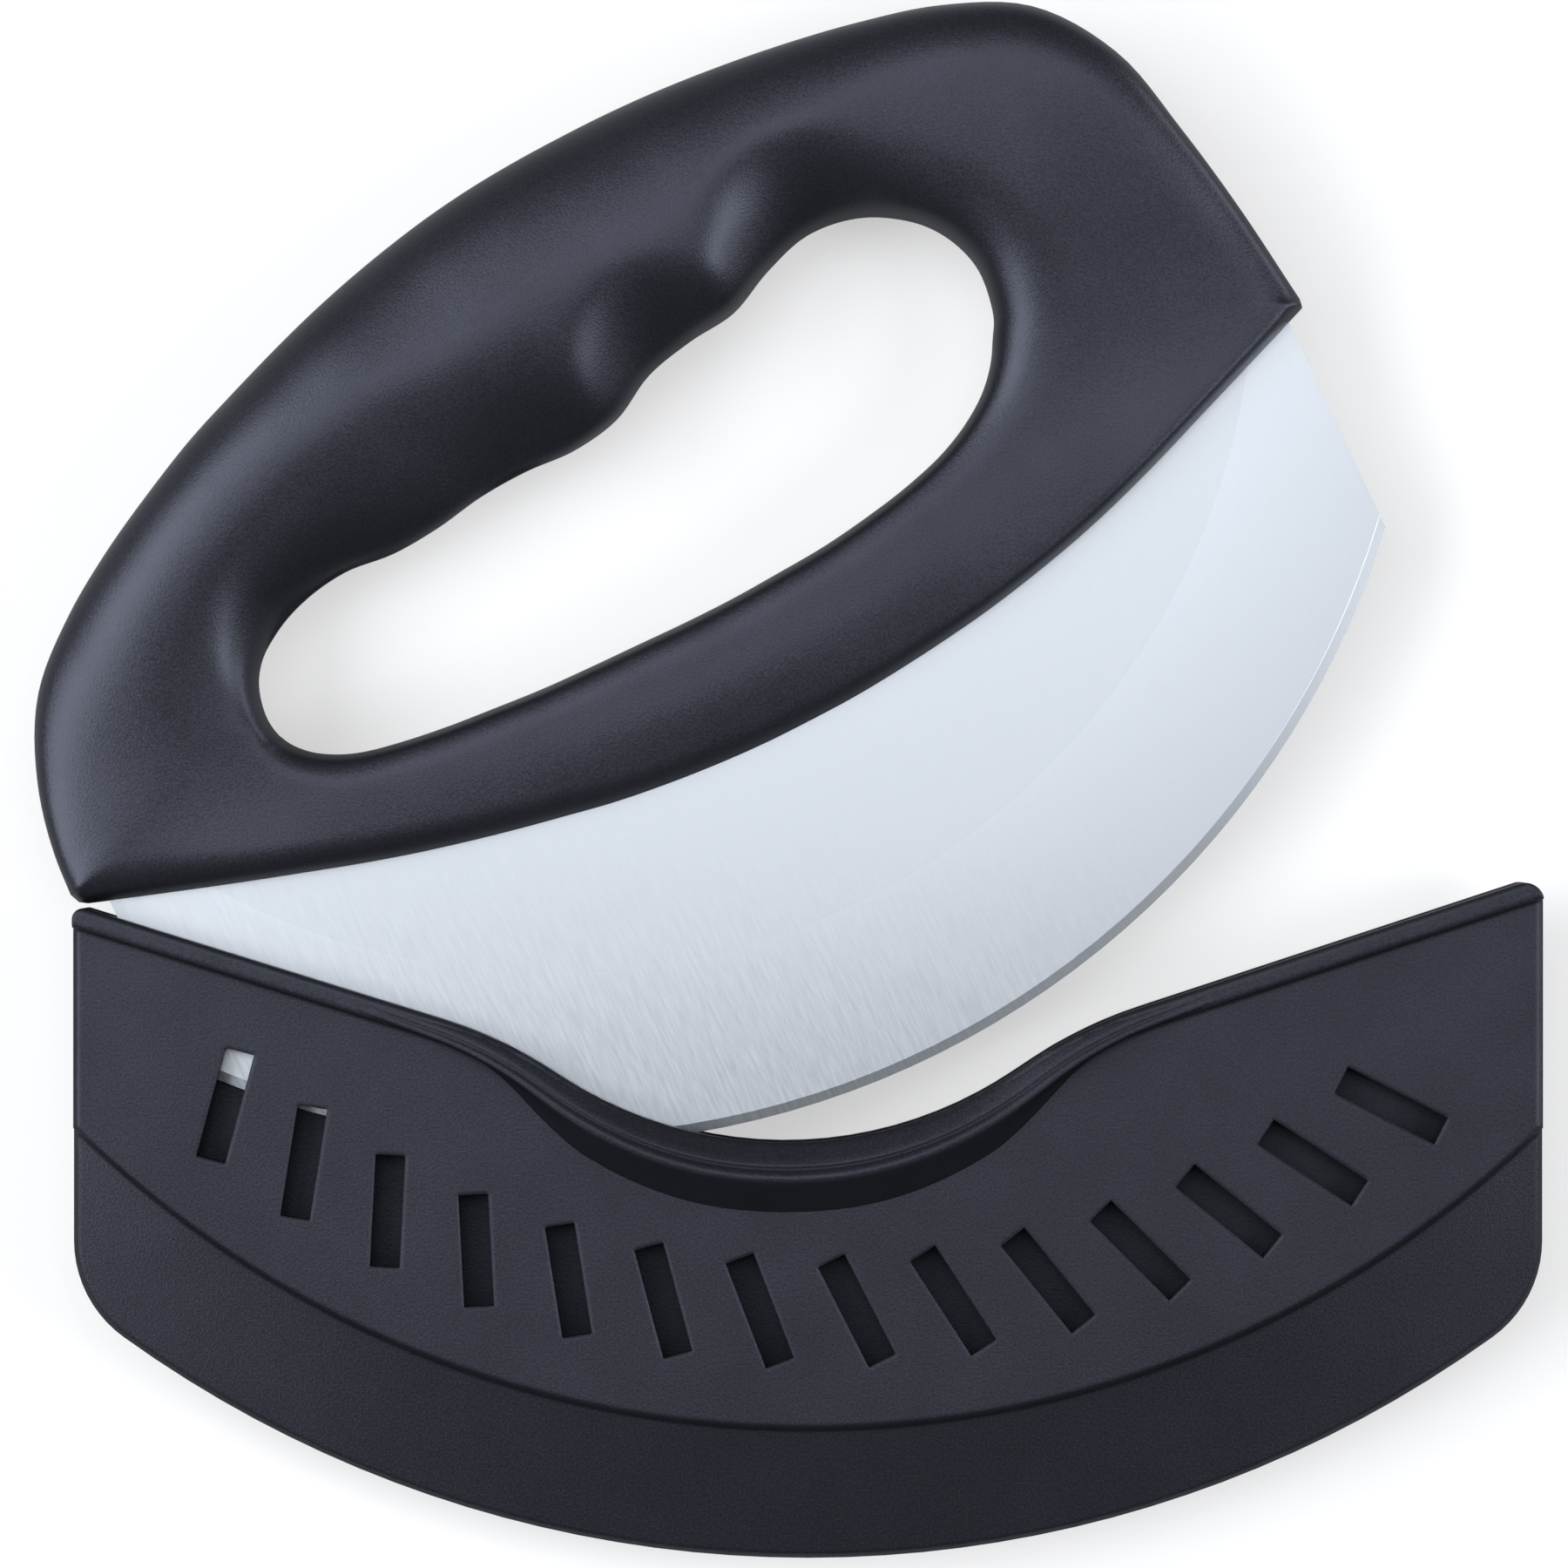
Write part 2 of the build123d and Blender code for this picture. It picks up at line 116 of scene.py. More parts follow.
# Handle outline in millimetres, clockwise from the lower left corner. Each row is a place on the
# outer edge with the width and the depth of the round there, and the place across from it on the
# finger hole's edge with the width and the depth of the round there. The last number is how far
# the face sinks towards the hole in the grip, and towards the lower edge in the bar.
HANDLE_ROWS = (
    (0.5, 0.2, 3.0, 3.0, 34.4, 9.0, 3.5, 3.5, 0.0),
    (0.0, 1.5, 2.5, 2.5, 34.2, 9.6, 3.5, 3.5, 0.0),
    (0.3, 7.0, 12.0, 2.8, 33.9, 11.3, 3.5, 3.5, 0.0),
    (2.4, 17.2, 22.0, 5.2, 34.1, 13.9, 4.2, 3.8, 0.4),
    (7.5, 27.8, 22.0, 7.6, 35.1, 16.9, 5.2, 4.4, 1.2),
    (15.7, 35.6, 16.0, 9.0, 37.0, 19.4, 6.5, 5.0, 2.6),
    (23.8, 41.1, 14.0, 9.4, 39.4, 21.2, 7.6, 5.2, 4.6),
    (32.2, 45.8, 13.0, 9.3, 41.9, 22.6, 8.0, 4.6, 6.4),
    (41.2, 50.3, 13.0, 9.5, 44.7, 23.7, 8.5, 4.0, 6.6),
    (47.8, 53.0, 12.8, 9.7, 51.6, 25.0, 8.5, 3.2, 6.6),
    (54.5, 55.6, 13.5, 9.9, 58.7, 24.5, 8.5, 2.6, 6.7),
    (61.2, 58.0, 14.5, 10.0, 65.6, 25.1, 8.5, 2.2, 6.5),
    (67.9, 60.1, 17.0, 10.6, 72.5, 26.4, 8.5, 2.0, 6.5),
    (74.7, 61.9, 18.5, 10.8, 79.5, 26.9, 8.5, 2.0, 6.3),
    (81.6, 63.4, 18.5, 10.8, 86.6, 26.7, 8.0, 2.5, 5.0),
    (88.5, 64.5, 18.5, 10.8, 93.4, 28.0, 8.0, 3.5, 3.4),
    (95.4, 65.2, 18.5, 10.8, 100.0, 31.6, 8.0, 4.0, 2.4),
    (102.4, 65.6, 18.5, 10.8, 106.8, 33.3, 8.0, 4.5, 2.0),
    (109.4, 65.8, 18.5, 10.8, 113.7, 34.3, 8.0, 4.5, 1.8),
    (116.5, 65.7, 17.0, 10.4, 120.3, 37.4, 8.0, 5.0, 1.8),
    (123.6, 65.3, 15.5, 10.0, 127.1, 39.5, 8.0, 5.0, 2.0),
    (134.3, 64.2, 12.5, 9.0, 131.2, 39.4, 8.0, 5.5, 2.6),
    (145.0, 62.5, 9.8, 8.0, 135.2, 38.4, 8.5, 6.0, 3.0),
    (156.4, 59.7, 8.8, 6.8, 138.9, 36.5, 9.0, 6.0, 2.2),
    (167.3, 54.3, 7.8, 5.4, 142.2, 33.8, 9.5, 6.2, 1.0),
    (174.9, 43.9, 7.0, 4.4, 144.6, 30.2, 10.5, 6.8, 0.3),
    (178.5, 30.8, 6.5, 3.6, 145.9, 26.0, 10.5, 7.0, 0.0),
    (181.2, 17.6, 6.5, 3.0, 145.7, 21.6, 10.0, 6.6, 0.0),
    (183.3, 3.6, 5.0, 2.5, 144.6, 17.8, 9.3, 6.1, 0.0),
    (183.1, 2.4, 3.0, 2.0, 144.3, 17.3, 9.2, 6.0, 0.0),
    (181.6, 1.8, 2.0, 1.5, 144.0, 16.8, 9.1, 5.95, 0.0),
    (165.9, -4.4, 1.5, 3.0, 142.3, 13.8, 8.4, 5.4, 0.0),
    (154.1, -9.0, 1.5, 3.2, 139.5, 10.5, 7.2, 4.7, 0.0),
    (144.3, -12.3, 1.6, 3.5, 135.9, 7.8, 6.0, 4.0, 0.5),
    (134.5, -14.9, 1.6, 3.8, 131.7, 5.6, 5.0, 3.5, 0.9),
    (127.7, -16.4, 1.8, 4.0, 125.0, 3.4, 4.2, 3.2, 1.3),
    (120.8, -17.6, 2.0, 4.2, 118.1, 1.9, 4.2, 3.2, 1.8),
    (113.9, -18.6, 2.2, 4.4, 111.2, 0.8, 4.2, 3.2, 2.2),
    (106.9, -19.4, 2.4, 4.5, 104.3, 0.2, 4.2, 3.2, 2.6),
    (100.0, -19.8, 2.5, 4.5, 97.3, -0.3, 4.2, 3.2, 2.8),
    (92.9, -20.0, 2.6, 4.6, 90.3, -0.5, 4.2, 3.2, 2.8),
    (85.9, -19.8, 2.8, 4.6, 83.2, -0.5, 4.2, 3.2, 2.6),
    (78.8, -19.3, 3.0, 4.7, 76.2, -0.5, 4.2, 3.2, 2.2),
    (71.6, -18.5, 3.2, 4.7, 69.1, -0.4, 4.2, 3.2, 1.8),
    (64.4, -17.3, 3.4, 4.8, 62.0, 0.0, 4.2, 3.2, 1.5),
    (57.2, -16.0, 3.6, 4.8, 54.9, 0.5, 4.2, 3.2, 1.2),
    (49.9, -14.5, 3.7, 4.8, 47.7, 1.4, 4.2, 3.2, 0.9),
    (43.0, -12.9, 3.8, 4.9, 44.9, 1.9, 4.2, 3.2, 0.6),
    (36.6, -11.2, 3.9, 4.9, 42.3, 2.6, 4.2, 3.3, 0.3),
    (29.7, -9.2, 4.0, 5.0, 39.7, 3.7, 4.2, 3.4, 0.0),
    (21.2, -6.7, 4.2, 5.0, 37.2, 5.3, 4.2, 3.5, 0.0),
    (9.3, -3.0, 5.5, 5.2, 35.0, 7.8, 4.0, 3.5, 0.0),
    (1.6, -0.5, 4.0, 4.5, 34.6, 8.6, 3.5, 3.5, 0.0),
)
# Finger hollows pressed into the grip's face: centre, radius and depth
SCOOPS = (
    (79.0, 28.0, 13.0, 1.6),
    (103.0, 33.0, 13.0, 3.9),
    (126.5, 40.0, 14.5, 3.8),
)
# Rows at which the outer edge turns a corner
CORNER_ROWS = [0, 1, 28, 29, 30, 52]
# First row of the lower edge, which runs from there to the last row
KEEL_ROW = 30
# Power of the curve along which the grip's face sinks, and the least height of the face in
# millimetres
SINK_POWER = 1.8
LEAST_HEIGHT = 0.8
# Passes that smooth the face, and how many rings they leave alone at either edge
SMOOTHING_PASSES = 4
KEPT_RINGS = 4
# Corners of the handle's mesh that lie closer than this, in millimetres, become one
MERGE_DISTANCE = 0.0001

# Width of a grinding mark as a share of its length
MARK_THINNESS = 0.09
# Size of the faint mottle in the plastic, and width below which a gap gets painted shade in the
# gloss
MOTTLE_SIZE = 14 * MM
NARROW_GAP = 7 * MM

# Soft boxes: name, place, aim, width, height and power
LAMPS = (
    ("top_panel", (-0.1, 0.33, 1.4), (-0.1, 0.33, 0), 1.1, 0.7, 8.2),
    ("left_light", (-0.8, 0.06, 0.78), (0, 0, 0.01), 1.3, 0.6, 18.0),
    ("right_light", (0.795, -0.13, 0.736), (0, 0, 0.01), 0.4, 0.4, 6.3),
    ("rim_light", (1.0, 0.3, 0.22), (0, 0, 0.01), 0.8, 0.3, 5.0),
)
# Strength of the room's own light, and how pale the room looks to the camera
ROOM_LIGHT = 0.12
ROOM_SEEN = 0.93
# Light that lifts the floor to white where the camera sees it, and the floor's reach to each side
FLOOR_LIFT = 0.5
FLOOR_REACH = 2
# How far the camera stands off the middle
CAMERA_OFFSET = (-0.34 * MM, -0.51 * MM)


def linear(code):
    """Linear colour of an sRGB hex code."""
    values = [int(code[i : i + 2], 16) / 255 for i in (1, 3, 5)]
    return [v / 12.92 if v <= 0.04045 else ((v + 0.055) / 1.055) ** 2.4 for v in values]


def add_node(tree, kind, inputs=None, **settings):
    """Adds a node with its settings. An input is a value, or the output that it is linked to."""
    node = tree.nodes.new(kind)
    for name, value in settings.items():
        setattr(node, name, value)
    for socket, value in (inputs or {}).items():
        if isinstance(value, bpy.types.NodeSocket):
            tree.links.new(value, node.inputs[socket])
        else:
            node.inputs[socket].default_value = value
    return node


def new_material(name):
    """An empty node material with its tree."""
    material = bpy.data.materials.new(name)
    material.use_nodes = True
    material.node_tree.nodes.clear()
    return material, material.node_tree


def colour_property(name, description, code):
    """A colour setting whose default is an sRGB hex code."""
    return FloatVectorProperty(
        name=name,
        description=description,
        subtype="COLOR",
        size=3,
        min=0,
        max=1,
        default=linear(code),
    )


class HandleSettings(bpy.types.PropertyGroup):
    """Sizes and colour of the moulded handle."""

    plate_thickness: FloatProperty(
        name="Plate Thickness",
        description="Thickness of the handle along the blade",
        default=12.6 * MM,
        unit="LENGTH",
    )
    grip_thickness: FloatProperty(
        name="Grip Thickness",
        description="Thickness of the grip under its crown",
        default=24.0 * MM,
        unit="LENGTH",
    )
    swell_height: FloatProperty(
        name="Swell Height",
        description="Height over which the plate swells into the grip",
        default=48.0 * MM,
        unit="LENGTH",
    )
    keel_slope_width: FloatProperty(
        name="Keel Slope Width",
        description="Width over which the bar's face sinks towards the lower edge",
        default=11.0 * MM,
        unit="LENGTH",
    )
    edge_round: FloatProperty(
        name="Edge Round",
        description="Width of the small round where the face turns down to the side",
        default=1.0 * MM,
        unit="LENGTH",
    )
    steps_along: IntProperty(
        name="Steps Along",
        description="Steps between two rows of the outline",
        default=6,
        min=1,
        max=12,
    )
    steps_across: IntProperty(
        name="Steps Across",
        description="Steps from the outer edge to the finger hole",
        default=40,
        min=12,
        max=64,
    )
    colour: colour_property("Plastic", "Colour of the handle's plastic", "#141519")


class BladeSettings(bpy.types.PropertyGroup):
    """Sizes and colour of the blade's finish."""

    edge_radius: FloatProperty(
        name="Edge Radius",
        description="Radius of the cutting edge",
        default=117.5 * MM,
        unit="LENGTH",
    )
    grind_width: FloatProperty(
        name="Grind Width",
        description="Width of the wide grind along the cutting edge",
        default=23.0 * MM,
        unit="LENGTH",
    )
    bevel_width: FloatProperty(
        name="Bevel Width",
        description="Width of the cutting bevel",
        default=1.3 * MM,
        unit="LENGTH",
    )
    mark_height: FloatProperty(
        name="Mark Height",
        description="Height above the lowest part of the edge where the grinding marks fade out",
        default=46.0 * MM,
        unit="LENGTH",
    )
    mark_spacing: FloatProperty(
        name="Mark Spacing",
        description="Mean distance between two grinding marks",
        default=0.5 * MM,
        unit="LENGTH",
    )
    colour: colour_property("Steel", "Colour of the blade's steel", "#adb3bb")


class SheathSettings(bpy.types.PropertyGroup):
    """Colour and grain of the sheath's plastic, and the size of its lips."""

    colour: colour_property("Plastic", "Colour of the sheath's plastic", "#131418")
    grain_size: FloatProperty(
        name="Grain Size",
        description="Size of the moulded texture's grains",
        default=0.32 * MM,
        unit="LENGTH",
    )
    field_thickness: FloatProperty(
        name="Field Thickness",
        description="Thickness of the sheath across its raised field",
        default=6.1 * MM,
        unit="LENGTH",
    )
    lip_reach: FloatProperty(
        name="Lip Reach",
        description="Distance to either side of the dip over which the lip swells",
        default=62.0 * MM,
        unit="LENGTH",
    )


class StageSettings(bpy.types.PropertyGroup):
    """Floor, light and camera."""

    picture_width: FloatProperty(
        name="Picture Width",
        description="Width that the camera sees at the knife's middle plane",
        default=210.6 * MM,
        unit="LENGTH",
    )
    lens: FloatProperty(
        name="Lens",
        description="Focal length in millimetres",
        default=150.0,
        min=20.0,
    )
    floor_colour: colour_property("Floor", "Colour of the studio floor", "#a0a1a3")


def smooth_line(rows, steps, corners=()):
    """Rows of a smooth closed line through the given rows, straight next to its corners."""
    ends = np.roll(rows, -1, axis=0)
    length = np.linalg.norm(ends[:, :2] - rows[:, :2], axis=1)[:, None]
    after = (ends - rows) / length
    before = np.roll(after, 1, axis=0)
    last_length = np.roll(length, 1, axis=0)
    slope = (before * length + after * last_length) / (length + last_length)
    slope_out = slope.copy()
    slope_in = slope.copy()
    slope_out[list(corners)] = after[list(corners)]
    slope_in[list(corners)] = before[list(corners)]
    slope_in = np.roll(slope_in, -1, axis=0)
    t = np.linspace(0, 1, steps, endpoint=False)[None, :, None]
    line = (
        (1 + 2 * t) * (1 - t) ** 2 * rows[:, None]
        + t * (1 - t) ** 2 * (length * slope_out)[:, None]
        + t**2 * (3 - 2 * t) * ends[:, None]
        - t**2 * (1 - t) * (length * slope_in)[:, None]
    )
    return line.reshape(-1, rows.shape[1])


def nearest_on_line(places, line):
    """Distance from each place to a line of rows, and the rest of the row at the nearest point."""
    starts, ends = line[:-1], line[1:]
    span = (ends - starts)[:, :2]
    away = places[:, None] - starts[None, :, :2]
    share = ((away * span).sum(2) / (span * span).sum(1)).clip(0, 1)
    distance = np.linalg.norm(away - share[:, :, None] * span, axis=2)
    nearest = distance.argmin(1)
    at = np.arange(len(places))
    part = share[at, nearest][:, None]
    rest = starts[nearest, 2:] * (1 - part) + ends[nearest, 2:] * part
    return distance[at, nearest], rest.T


def quarter_round(share):
    """Height of a quarter ellipse that starts upright at 0 and is level from 1 on."""
    return np.sqrt(1 - (1 - share).clip(0, 1) ** 2)


def extrude_ring(bm, ring):
    """Extrudes a closed ring of vertices, and returns the new ring in the same order."""
    pairs = zip(ring, ring[1:] + ring[:1])
    edges = [bm.edges.get(pair) for pair in pairs]
    made = bmesh.ops.extrude_edge_only(bm, edges=edges)["geom"]
    new = {v for v in made if isinstance(v, bmesh.types.BMVert)}
    return [next(e.other_vert(v) for e in v.link_edges if e.other_vert(v) in new) for v in ring]


def round_drop(distance, width, depth):
    """How far a rounded edge lies below the face at a distance from it."""
    return depth * (1 - quarter_round(distance / width))


def handle_heights(places, crown, keel, hole, sizes):
    """Height of the handle's face above its middle plane at each place."""
    swell = (places[:, 1] / (sizes.swell_height / MM)).clip(0, 1)
    swell = swell * swell * (3 - 2 * swell)
    plate = sizes.plate_thickness / MM / 2
    grip = sizes.grip_thickness / MM / 2
    heights = plate + (grip - plate) * swell

    crown_distance, (crown_width, depth, _) = nearest_on_line(places, crown)
    heights -= round_drop(crown_distance, crown_width, depth)
    keel_distance, (width, depth, sink) = nearest_on_line(places, keel)
    heights -= round_drop(keel_distance, width, depth)
    heights -= sink * (1 - keel_distance / (sizes.keel_slope_width / MM)).clip(0) ** 2
    hole_distance, (width, depth, sink) = nearest_on_line(places, hole)
    heights -= round_drop(hole_distance, width, depth)
    # The grip's face sinks from the crown's inner border on
    past_crown = (crown_distance - crown_width).clip(0)
    heights -= sink * (past_crown / (past_crown + hole_distance + 0.01)) ** SINK_POWER

    for x, y, radius, depth in SCOOPS:
        share = np.hypot(places[:, 0] - x, places[:, 1] - y) / radius
        heights -= depth * (1 - share.clip(0, 1) ** 2) ** 2

    heights = heights.clip(LEAST_HEIGHT)
    for distance in (crown_distance, keel_distance, hole_distance):
        heights *= quarter_round(distance / (sizes.edge_round / MM))
    return heights


def handle_mesh(sizes):
    """Mesh of the handle: rings from its outer edge in to the hole, mirrored to the back."""
    rows = np.array(HANDLE_ROWS)
    outer = smooth_line(rows[:, [0, 1, 2, 3, 8]], sizes.steps_along, CORNER_ROWS)
    hole = smooth_line(rows[:, 4:], sizes.steps_along)
    keel_start = KEEL_ROW * sizes.steps_along
    crown = outer[: keel_start + 1]
    keel = np.vstack([outer[keel_start:], outer[:1]])
    closed_hole = np.vstack([hole, hole[:1]])
    closed_hole[keel_start:, 4] = 0

    share = (1 - np.cos(np.linspace(0, math.pi, sizes.steps_across + 1))) / 2
    share = share[:, None, None]
    places = (outer[None, :, :2] * (1 - share) + hole[None, :, :2] * share).reshape(-1, 2)
    heights = handle_heights(places, crown, keel, closed_hole, sizes)

    bm = bmesh.new()
    rings = [bmesh.ops.create_circle(bm, segments=len(outer), radius=1)["verts"]]
    for _ in range(sizes.steps_across):
        rings.append(extrude_ring(bm, rings[-1]))
    for vert, place, height in zip([v for ring in rings for v in ring], places, heights):
        vert.co = (*place, height)
    inside = [v for ring in rings[KEPT_RINGS:-KEPT_RINGS] for v in ring]
    for _ in range(SMOOTHING_PASSES):
        bmesh.ops.smooth_vert(
            bm, verts=inside, factor=0.5, use_axis_x=True, use_axis_y=True, use_axis_z=True
        )
    for vert in rings[0] + rings[-1]:
        vert.co.z = 0
    geometry = bm.verts[:] + bm.edges[:] + bm.faces[:]
    bmesh.ops.mirror(
        bm, geom=geometry, matrix=Matrix.Identity(4), merge_dist=MERGE_DISTANCE, axis="Z"
    )
    bmesh.ops.remove_doubles(bm, verts=bm.verts, dist=MERGE_DISTANCE)
    bmesh.ops.recalc_face_normals(bm, faces=bm.faces)
    bmesh.ops.transform(bm, matrix=KNIFE_PLACE, verts=bm.verts)
    return bm


def rounded_corner(before, corner, after, radius):
    """Points along the round that takes the place of a corner."""
    back = (before - corner) / np.linalg.norm(before - corner)
    on = (after - corner) / np.linalg.norm(after - corner)
    half = math.acos(back @ on) / 2
    middle = (back + on) / np.linalg.norm(back + on)
    centre = corner + middle * radius / math.sin(half)
    start = corner + back * radius / math.tan(half) - centre
    end = corner + on * radius / math.tan(half) - centre
    turn = math.pi - 2 * half
    points = []
    for share in np.linspace(0, 1, ROUND_POINTS):
        arm = start * math.sin((1 - share) * turn) + end * math.sin(share * turn)
        points.append(centre + arm / math.sin(turn))
    return points


def mouth_line():
    """Points along the sheath's mouth, each with the direction into the sheath."""
    corners = [np.array(corner) for corner in MOUTH_CORNERS]
    points = [corners[0]]
    for before, corner, after, radius in zip(corners, corners[1:], corners[2:], MOUTH_ROUNDS):
        points += rounded_corner(before, corner, after, radius)
    points = np.array([*points, corners[-1]])
    steps = np.linalg.norm(np.diff(points, axis=0), axis=1)
    length = np.concatenate([[0], np.cumsum(steps)])
    even = np.arange(0, length[-1], MOUTH_STEP)
    line = np.stack([np.interp(even, length, points[:, axis]) for axis in (0, 1)], 1)
    along = np.gradient(line, axis=0)
    along /= np.linalg.norm(along, axis=1)[:, None]
    return line, np.stack([along[:, 1], -along[:, 0]], 1)


def fade(distance, full, none):
    """Share that is 1 up to one distance and falls smoothly to 0 at another."""
    share = ((none - distance) / (none - full)).clip(0, 1)
    return share * share * (3 - 2 * share)


def lip_section(swell, slope):
    """Distance and height of each point of the lip's section, between its two forms."""
    section = np.array(LIP_SECTION)
    on_slope = np.arange(len(section)) >= LIP_SLOPE_START
    share = np.where(on_slope, slope, swell)[:, None]
    return section[:, :2] + (section[:, 2:] - section[:, :2]) * share


def lip_mesh(sizes):
    """Mesh of the lips round the dip in the sheath's mouth, one on the front, one on the back."""
    line, inward = mouth_line()
    away = np.abs(line[:, 0] - MOUTH_CORNERS[2][0])
    reach = sizes.lip_reach / MM
    near = away < reach
    line, inward, away = line[near], inward[near], away[near]
    swell = fade(away, BEADS_FULL, reach)
    slope = np.minimum(swell, fade(away, SLOPE_FULL, SLOPE_GONE))
    field = sizes.field_thickness / MM / 2
    bm = bmesh.new()
    for side in (1, -1):
        ring = bmesh.ops.create_circle(bm, segments=len(LIP_SECTION), radius=1)["verts"]
        caps = [ring]
        for i, (place, way) in enumerate(zip(line, inward)):
            if i:
                ring = extrude_ring(bm, ring)
            for vert, (distance, height) in zip(ring, lip_section(swell[i], slope[i])):
                x, y = place + way * distance
                vert.co = (x * MM, y * MM, HINGE.z + side * (field + height) * MM)
        caps.append(ring)
        for cap in caps:
            edges = [bm.edges.get(pair) for pair in zip(cap, cap[1:] + cap[:1])]
            bmesh.ops.contextual_create(bm, geom=edges)
    bmesh.ops.remove_doubles(bm, verts=bm.verts, dist=0.001 * MM)
    bmesh.ops.recalc_face_normals(bm, faces=bm.faces)
    return bm


def add_piece(name, bm, material):
    """Makes an object of a finished mesh, with its place in the mesh."""
    for face in bm.faces:
        face.smooth = True
    mesh = bpy.data.meshes.new(name)
    bm.to_mesh(mesh)
    bm.free()
    mesh.materials.append(material)
    piece = bpy.data.objects.new(name, mesh)
    bpy.context.scene.collection.objects.link(piece)
    return piece


def around(tree, place, centre):
    """Flat vector from a centre to the place, and its length."""
    away = add_node(
        tree, "ShaderNodeVectorMath", {0: place, 1: tuple(centre)}, operation="SUBTRACT"
    )
    flat = add_node(
        tree,
        "ShaderNodeVectorMath",
        {0: away.outputs["Vector"], 1: (1, 1, 0)},
        operation="MULTIPLY",
    )
    radius = add_node(
        tree, "ShaderNodeVectorMath", {0: flat.outputs["Vector"]}, operation="LENGTH"
    )
    return flat.outputs["Vector"], radius.outputs["Value"]


def band_fall(tree, place):
    """Height of the sheath's face, whose welded band falls away towards the lower edge."""
    _, radius = around(tree, place, SHEATH_CENTRE)
    past_step = add_node(tree, "ShaderNodeMath", {0: radius, 1: BAND_RADIUS}, operation="SUBTRACT")
    band = add_node(
        tree, "ShaderNodeMath", {0: past_step.outputs["Value"], 1: 0.0}, operation="MAXIMUM"
    )
    fall = add_node(
        tree, "ShaderNodeMath", {0: band.outputs["Value"], 1: -BAND_SLOPE}, operation="MULTIPLY"
    )
    return fall.outputs["Value"]


def plastic_normal(tree, place, grains, depth, rounding, fall):
    """Normal of the plastic, with rounded edges, the fall of its face and the mould's grains."""
    normal = add_node(tree, "ShaderNodeBevel", {"Radius": rounding}, samples=6).outputs["Normal"]
    if fall:
        leaning = add_node(
            tree,
            "ShaderNodeBump",
            {"Height": fall(tree, place), "Distance": 1.0, "Normal": normal},
        )
        normal = leaning.outputs["Normal"]
    grained = add_node(
        tree,
        "ShaderNodeBump",
        {"Height": grains, "Strength": 1.0, "Distance": depth, "Normal": normal},
    )
    return grained.outputs["Normal"]


def plastic_gloss(tree, grains, tone, shine, painted_shade_shine):
    """How much the plastic mirrors: this varies with its grains, and carries painted shade in
    narrow places and on steep faces that lean down the picture.
    """
    # Painted shade: the gloss is turned down in narrow, deep places, where little of the room
    # shines in
    open_sky = add_node(tree, "ShaderNodeAmbientOcclusion", {"Distance": NARROW_GAP}, samples=4)
    light = add_node(
        tree,
        "ShaderNodeMapRange",
        {
            "Value": open_sky.outputs["AO"],
            "From Min": 0.35,
            "From Max": 0.85,
            "To Min": 0.25 * shine,
            "To Max": shine,
        },
    )
    glints = add_node(
        tree,
        "ShaderNodeMapRange",
        {"Value": grains, "From Min": 0.3, "From Max": 0.7, "To Min": 0.75, "To Max": 1.25},
    )
    # Painted shade: the gloss is turned down on steep faces that lean down the picture, in place
    # of a dark side of the room
    surface = add_node(tree, "ShaderNodeNewGeometry")
    lean = add_node(tree, "ShaderNodeSeparateXYZ", {"Vector": surface.outputs["Normal"]})
    lean_painted_shade = add_node(
        tree,
        "ShaderNodeMapRange",
        {
            "Value": lean.outputs["Y"],
            "From Min": -0.5,
            "From Max": -0.2,
            "To Min": painted_shade_shine,
            "To Max": 1.0,
        },
    )
    gloss = tone
    for factor in (glints, light, lean_painted_shade):
        product = add_node(
            tree, "ShaderNodeMath", {0: gloss, 1: factor.outputs["Result"]}, operation="MULTIPLY"
        )
        gloss = product.outputs["Value"]
    return gloss


def moulded_plastic(name, colour, grain_size, depth, rounding, shine, fall=None, painted_shade_shine=1.0):
    """Polypropylene from a spark-eroded mould: dull charcoal, with fine grains that catch light.
    Its gloss carries painted shade in narrow gaps and on steep faces that lean down the picture.

    The real grains are about 0.1 mm; they are drawn coarser so that they show.
    """
    material, tree = new_material(name)
    place = add_node(tree, "ShaderNodeTexCoord").outputs["Object"]
    noise = add_node(
        tree,
        "ShaderNodeTexNoise",
        {"Vector": place, "Scale": 1 / grain_size, "Detail": 2.0, "Roughness": 0.6},
    )
    grains = noise.outputs["Fac"]
    mottle = add_node(
        tree,
        "ShaderNodeTexNoise",
        {"Vector": place, "Scale": 1 / MOTTLE_SIZE, "Detail": 3.0, "Roughness": 0.55},
    )
    tone = add_node(
        tree,
        "ShaderNodeMapRange",
        {
            "Value": mottle.outputs["Fac"],
            "From Min": 0.3,
            "From Max": 0.7,
            "To Min": 0.93,
            "To Max": 1.07,
        },
    )
    tinted = add_node(
        tree,
        "ShaderNodeVectorMath",
        {0: tuple(colour), 1: tone.outputs["Result"]},
        operation="MULTIPLY",
    )
    dullness = add_node(
        tree,
        "ShaderNodeMapRange",
        {"Value": grains, "From Min": 0.35, "From Max": 0.65, "To Min": 0.36, "To Max": 0.46},
    )
    shader = add_node(
        tree,
        "ShaderNodeBsdfPrincipled",
        {
            "Base Color": tinted.outputs["Vector"],
            "Roughness": dullness.outputs["Result"],
            "IOR": 1.49,
            "Specular IOR Level": plastic_gloss(
                tree, grains, tone.outputs["Result"], shine, painted_shade_shine
            ),
            "Specular Tint": (0.7, 0.75, 1, 1),
            "Normal": plastic_normal(tree, place, grains, depth, rounding, fall),
        },
    )
    add_node(tree, "ShaderNodeOutputMaterial", {"Surface": shader.outputs["BSDF"]})
    return material


